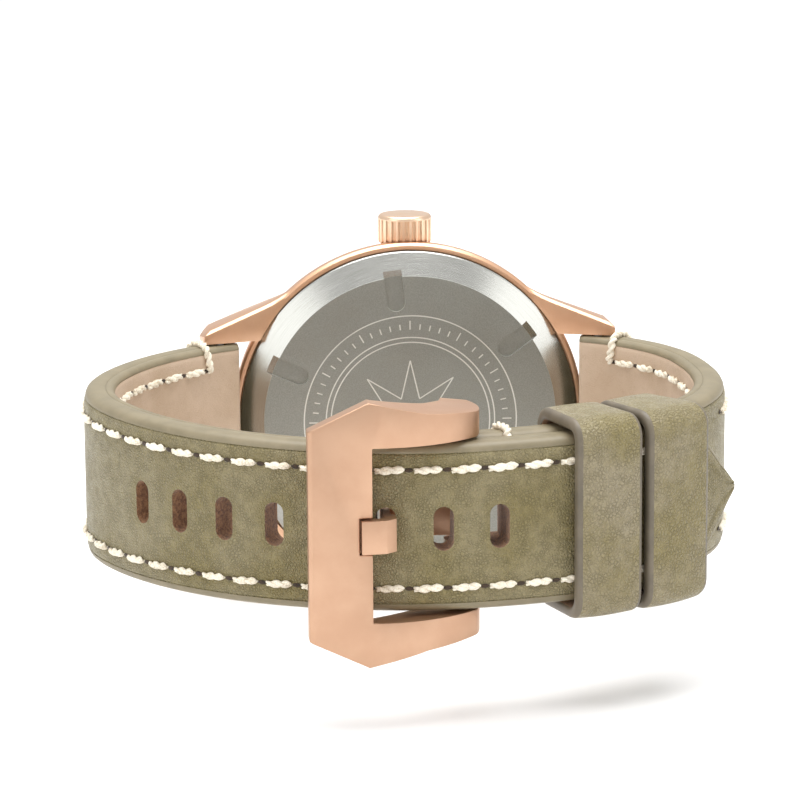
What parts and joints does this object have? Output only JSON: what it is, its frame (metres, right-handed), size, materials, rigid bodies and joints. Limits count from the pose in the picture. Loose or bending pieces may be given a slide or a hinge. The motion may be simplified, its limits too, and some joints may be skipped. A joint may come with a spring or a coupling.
{
  "type": "dive watch",
  "caption": "Bronze-cased mechanical dive watch on a closed olive leather strap with pin buckle, standing on its side with the crown up.",
  "frame": {"origin": "centre of the bounding box's footprint, at the lowest point of the case flank at nine o'clock", "axes": "+X towards twelve o'clock, +Y out through the dial, +Z towards the crown at three o'clock; the closed strap loops out towards -Y"},
  "size_m": [0.0746, 0.0728, 0.0458],
  "materials": {
    "bronze": "satin aluminium bronze, brushed flats",
    "titanium": "fine matte flat inside a polished bevel",
    "leather": "olive green, fine pebbled grain, painted edges",
    "lining": "pale tan smooth lining",
    "thread": "cream waxed twisted thread",
    "sapphire": "polished clear",
    "seal": "matte",
    "insert": "satin dark insert",
    "lume": "pale luminous fill",
    "dial_paint": "matte dark",
    "hand_metal": "polished bronze colour",
    "spring_steel": "fine brushed",
    "steel": "fine brushed",
    "movement_plate": "rhodium plated, fine grained",
    "gear_brass": "polished",
    "ruby": "polished red"
  },
  "bodies": {
    "head": {"mid_case": "bronze", "case_back": "titanium", "strap_long": "leather", "strap_short": "leather", "keeper_fixed": "leather", "strap_long_lining": "lining", "strap_short_lining": "lining", "stitching": "thread", "crystal": "sapphire", "case_back_gasket": "seal", "crystal_gasket": "seal", "dial_markers": "lume", "dial": "dial_paint", "chapter_ring": "dial_paint", "bezel_click_spring": "spring_steel", "hairspring": "spring_steel", "mainspring": "spring_steel", "lug_12_bar": "spring_steel", "lug_6_bar": "spring_steel", "buckle_bar": "spring_steel", "crown_tube": "steel", "case_clamps": "steel", "movement_screws": "steel", "barrel_arbor": "steel", "rotor_bearing": "steel", "main_plate": "movement_plate", "train_bridge": "movement_plate", "balance_cock": "movement_plate", "movement_ring": "movement_plate", "jewels": "ruby"},
    "bezel": {"bezel": "bronze", "bezel_insert": "insert", "bezel_pip": "lume"},
    "winding_pinion": {"winding_pinion": "steel"},
    "crown": {"crown": "bronze", "crown_gasket": "seal", "winding_stem": "steel"},
    "seconds": {"second_hand": "hand_metal", "fourth_wheel": "gear_brass"},
    "minutes": {"minute_hand": "hand_metal", "centre_wheel": "gear_brass", "cannon_pinion": "steel"},
    "hours": {"hour_hand": "hand_metal", "hour_wheel": "gear_brass"},
    "third": {"third_wheel": "gear_brass"},
    "barrel": {"mainspring_barrel": "gear_brass"},
    "minute_wheel": {"minute_wheel": "gear_brass"},
    "escape": {"escape_wheel": "steel"},
    "pallet": {"pallet_fork": "steel"},
    "balance": {"balance_wheel": "gear_brass"},
    "rotor": {"rotor": "gear_brass"},
    "keeper_free": {"keeper_free": "leather"},
    "buckle_frame": {"buckle_frame": "bronze"},
    "buckle_tongue": {"buckle_tongue": "bronze"},
    "lug_12_pin_upper": {"lug_12_pin_upper": "spring_steel"},
    "lug_12_pin_lower": {"lug_12_pin_lower": "spring_steel"},
    "lug_6_pin_upper": {"lug_6_pin_upper": "spring_steel"},
    "lug_6_pin_lower": {"lug_6_pin_lower": "spring_steel"},
    "buckle_pin_upper": {"buckle_pin_upper": "spring_steel"},
    "buckle_pin_lower": {"buckle_pin_lower": "spring_steel"}
  },
  "joints": [
    {"name": "bezel_turn", "type": "hinge", "parent": "head", "child": "bezel", "pos_m": [0.00263, 0.0343, 0.0214], "axis": [0, -1, 0], "continuous": true},
    {"name": "crown_turn", "type": "hinge", "parent": "head", "child": "winding_pinion", "pos_m": [0.00263, 0.0288, 0.0414], "axis": [0, 0, 1], "continuous": true},
    {"name": "crown_pull", "type": "slide", "parent": "winding_pinion", "child": "crown", "axis": [0, 0, 1], "range_m": [0, 0.002]},
    {"name": "seconds_turn", "type": "hinge", "parent": "head", "child": "seconds", "pos_m": [0.00263, 0.0273, 0.0214], "axis": [0, -1, 0], "continuous": true},
    {"name": "minutes_turn", "type": "hinge", "parent": "head", "child": "minutes", "pos_m": [0.00263, 0.0283, 0.0214], "axis": [0, -1, 0], "continuous": true},
    {"name": "hours_turn", "type": "hinge", "parent": "head", "child": "hours", "pos_m": [0.00263, 0.0313, 0.0214], "axis": [0, -1, 0], "continuous": true},
    {"name": "third_turn", "type": "hinge", "parent": "head", "child": "third", "pos_m": [0.00808, 0.0273, 0.01825], "axis": [0, -1, 0], "continuous": true},
    {"name": "barrel_turn", "type": "hinge", "parent": "head", "child": "barrel", "pos_m": [-0.00283, 0.0273, 0.02455], "axis": [0, -1, 0], "continuous": true},
    {"name": "minute_wheel_turn", "type": "hinge", "parent": "head", "child": "minute_wheel", "pos_m": [-0.0002, 0.0303, 0.02008], "axis": [0, -1, 0], "continuous": true},
    {"name": "escape_turn", "type": "hinge", "parent": "head", "child": "escape", "pos_m": [0.00058, 0.0273, 0.01701], "axis": [0, -1, 0], "continuous": true},
    {"name": "pallet_swing", "type": "hinge", "parent": "head", "child": "pallet", "pos_m": [0.00055, 0.0273, 0.01451], "axis": [0, -1, 0], "range_deg": [-6, 6]},
    {"name": "balance_swing", "type": "hinge", "parent": "head", "child": "balance", "pos_m": [0.00052, 0.0283, 0.01296], "axis": [0, -1, 0], "range_deg": [-270, 270]},
    {"name": "rotor_turn", "type": "hinge", "parent": "head", "child": "rotor", "pos_m": [0.00263, 0.0253, 0.0214], "axis": [0, -1, 0], "continuous": true},
    {"name": "keeper_slide", "type": "hinge", "parent": "head", "child": "keeper_free", "pos_m": [0.00881, 0.00119, 0.0214], "axis": [0, 0, 1], "range_deg": [0, 12]},
    {"name": "buckle_swing", "type": "hinge", "parent": "head", "child": "buckle_frame", "pos_m": [0.00303, -0.0274, 0.0214], "axis": [0, 0, 1], "range_deg": [0, 2]},
    {"name": "tongue_swing", "type": "hinge", "parent": "buckle_frame", "child": "buckle_tongue", "pos_m": [0.00303, -0.0274, 0.0214], "axis": [0, 0, 1], "range_deg": [0, 2]},
    {"name": "lug_12_pin_upper_press", "type": "slide", "parent": "head", "child": "lug_12_pin_upper", "axis": [0, 0, -1], "range_m": [0, 0.0011], "stiffness_N_per_m": 400, "springref_m": -0.001},
    {"name": "lug_12_pin_lower_press", "type": "slide", "parent": "head", "child": "lug_12_pin_lower", "axis": [0, 0, 1], "range_m": [0, 0.0011], "stiffness_N_per_m": 400, "springref_m": -0.001},
    {"name": "lug_6_pin_upper_press", "type": "slide", "parent": "head", "child": "lug_6_pin_upper", "axis": [0, 0, -1], "range_m": [0, 0.0011], "stiffness_N_per_m": 400, "springref_m": -0.001},
    {"name": "lug_6_pin_lower_press", "type": "slide", "parent": "head", "child": "lug_6_pin_lower", "axis": [0, 0, 1], "range_m": [0, 0.0011], "stiffness_N_per_m": 400, "springref_m": -0.001},
    {"name": "buckle_pin_upper_press", "type": "slide", "parent": "head", "child": "buckle_pin_upper", "axis": [0, 0, -1], "range_m": [0, 0.0011], "stiffness_N_per_m": 400, "springref_m": -0.001},
    {"name": "buckle_pin_lower_press", "type": "slide", "parent": "head", "child": "buckle_pin_lower", "axis": [0, 0, 1], "range_m": [0, 0.0011], "stiffness_N_per_m": 400, "springref_m": -0.001}
  ],
  "couplings": [
    {"joint": "minutes_turn", "follows": "seconds_turn", "ratio": 0.016667},
    {"joint": "hours_turn", "follows": "seconds_turn", "ratio": 0.0013889},
    {"joint": "third_turn", "follows": "seconds_turn", "ratio": -0.13333},
    {"joint": "barrel_turn", "follows": "seconds_turn", "ratio": -0.0020833},
    {"joint": "minute_wheel_turn", "follows": "seconds_turn", "ratio": -0.0055556},
    {"joint": "escape_turn", "follows": "seconds_turn", "ratio": -10}
  ]
}
